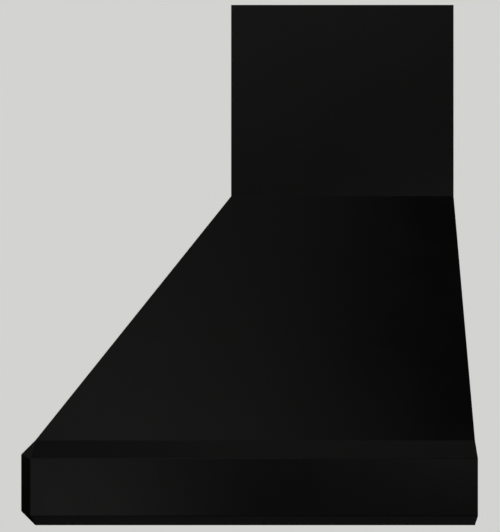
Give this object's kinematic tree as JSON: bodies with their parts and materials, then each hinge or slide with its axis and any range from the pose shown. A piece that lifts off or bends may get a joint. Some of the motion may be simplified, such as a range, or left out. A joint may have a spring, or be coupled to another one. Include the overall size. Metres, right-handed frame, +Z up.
{
  "type": "range hood cover",
  "caption": "Wall-hung wooden range hood cover: a straight chimney over a tapered canopy with a bevelled apron round its foot, open inside for a liner and a duct.",
  "frame": {"origin": "on the wall plane, in the middle of the wall cleat's two screw holes", "axes": "+X runs along the wall to the right of someone who faces the cover, -Y points out into the room and +Z points up"},
  "size_m": [0.762, 0.61, 0.744],
  "materials": {
    "painted_wood": "satin black paint outside, bare plywood inside",
    "birch_plywood": "bare, sanded",
    "pine": "bare, planed",
    "zinc_screws": "zinc plated"
  },
  "bodies": {
    "wall_fixing": {"wall_cleat": "birch_plywood"},
    "cover": {"apron_front": "painted_wood", "apron_left": "painted_wood", "apron_right": "painted_wood", "base_cleat_front": "pine", "base_cleat_left": "pine", "base_cleat_right": "pine", "bend_cleat_front": "pine", "bend_cleat_left": "pine", "bend_cleat_right": "pine", "canopy_front": "painted_wood", "canopy_left": "painted_wood", "canopy_right": "painted_wood", "canopy_stile_left": "pine", "canopy_stile_right": "pine", "chimney_front": "painted_wood", "chimney_left": "painted_wood", "chimney_right": "painted_wood", "chimney_stile_left": "pine", "chimney_stile_right": "pine", "chimney_top_rail": "pine", "corner_batten_left": "pine", "corner_batten_right": "pine", "duct_shelf": "birch_plywood", "hanging_rail": "birch_plywood", "hip_batten_left": "pine", "hip_batten_right": "pine", "liner_ledge_back": "pine", "liner_ledge_front": "pine", "liner_ledge_left": "pine", "liner_ledge_right": "pine", "rail_block_left": "pine", "rail_block_right": "pine", "shelf_screws": "zinc_screws", "skirt_back_rail": "birch_plywood", "skirt_front": "painted_wood", "skirt_glue_blocks": "pine", "skirt_left": "painted_wood", "skirt_right": "painted_wood", "top_cleat_front": "pine", "top_cleat_left": "pine", "top_cleat_right": "pine"}
  },
  "joints": [
    {"name": "lift_off", "type": "slide", "parent": "wall_fixing", "child": "cover", "axis": [0, 0, 1], "range_m": [0, 0.03]}
  ]
}
